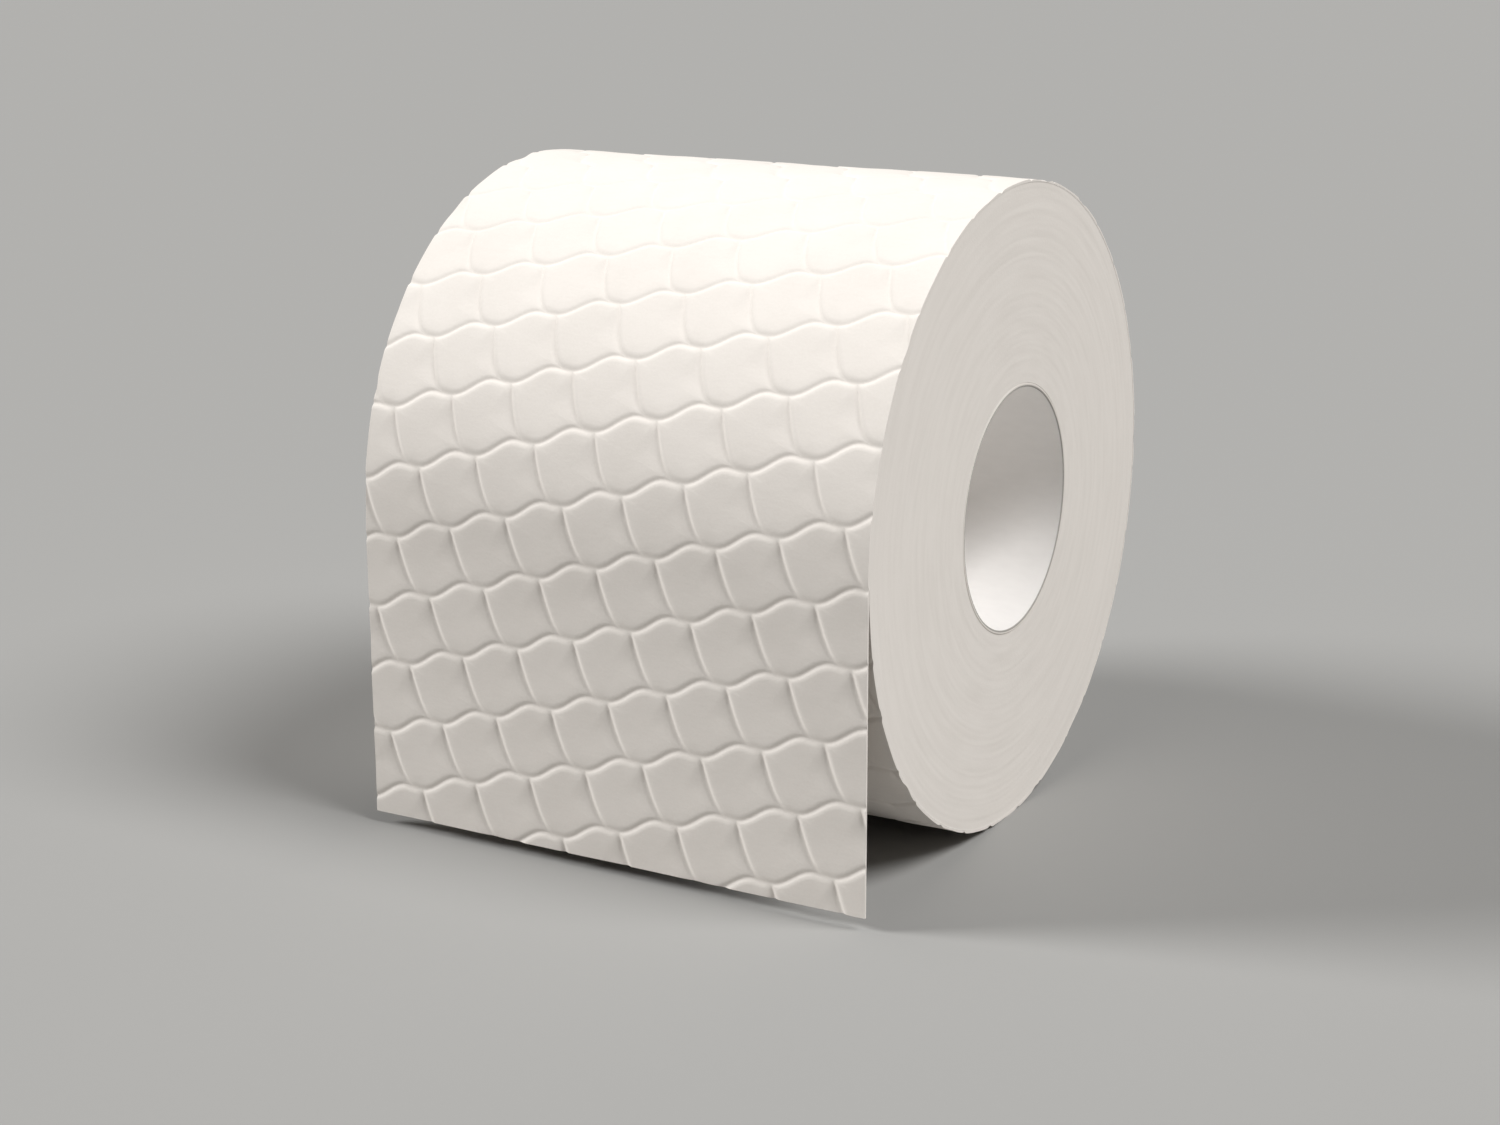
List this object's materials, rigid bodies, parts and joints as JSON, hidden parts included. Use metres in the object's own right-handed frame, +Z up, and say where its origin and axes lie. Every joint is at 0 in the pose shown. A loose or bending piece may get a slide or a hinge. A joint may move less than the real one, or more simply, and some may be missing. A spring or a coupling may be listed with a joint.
{
  "type": "toilet paper roll",
  "caption": "Roll of embossed white bathroom tissue on a board core, lying on its side with its free end hanging down in front.",
  "frame": {"origin": "middle of the flat that the roll lies on, under the middle of its width", "axes": "+X along the core, -Y towards the hanging end of the web, +Z up"},
  "size_m": [0.1, 0.1181, 0.1175],
  "materials": {
    "tissue": "soft matt embossed tissue",
    "board": "plain matt grey-white paperboard"
  },
  "bodies": {
    "root": {"paper": "tissue", "core": "board"}
  },
  "joints": []
}
